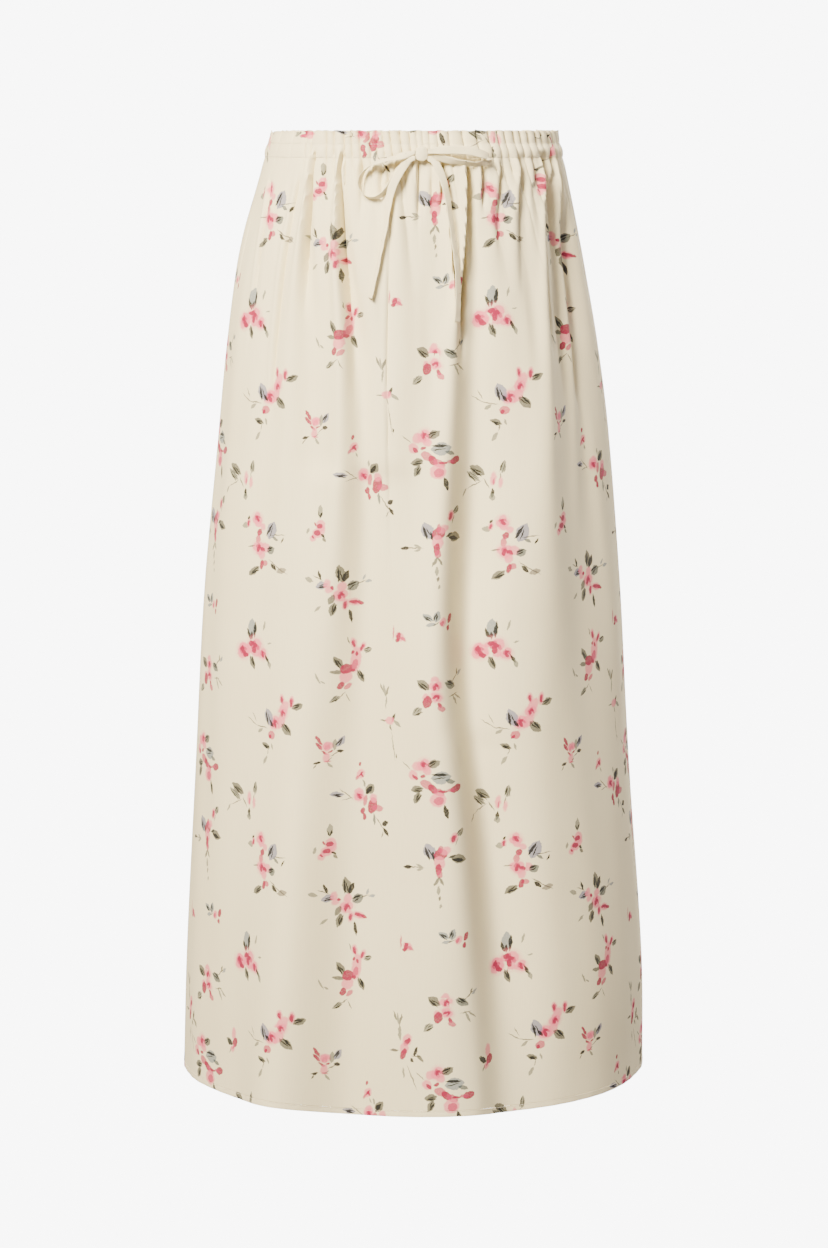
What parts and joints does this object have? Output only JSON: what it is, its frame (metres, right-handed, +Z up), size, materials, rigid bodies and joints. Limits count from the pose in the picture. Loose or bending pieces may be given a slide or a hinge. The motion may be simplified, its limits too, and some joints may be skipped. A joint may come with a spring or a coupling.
{
  "type": "maxi skirt",
  "caption": "Ankle-length A-line skirt, filled out and hollow, gathered into an elastic casing with a frilled header and a tied drawstring bow in front.",
  "frame": {"origin": "middle of the waist, at half the height of the elastic casing", "axes": "+Z up towards the top edge, -Y towards the front with the bow, +X to the right of somebody who looks at the front"},
  "size_m": [0.4804, 0.3531, 0.9595],
  "materials": {
    "printed_cloth": "cream woven cloth with a small painterly print of pink sprigs and grey-green leaves",
    "tie_cloth": "the same cream cloth, folded into a narrow flat tie"
  },
  "bodies": {
    "root": {"front_panel": "printed_cloth", "back_panel": "printed_cloth", "casing_front": "printed_cloth", "casing_back": "printed_cloth", "header_front": "printed_cloth", "header_back": "printed_cloth", "hem_front": "printed_cloth", "hem_back": "printed_cloth", "bow_knot": "tie_cloth", "bow_loop_left": "tie_cloth", "bow_loop_right": "tie_cloth", "tie_end_left": "tie_cloth", "tie_end_right": "tie_cloth"}
  },
  "joints": []
}
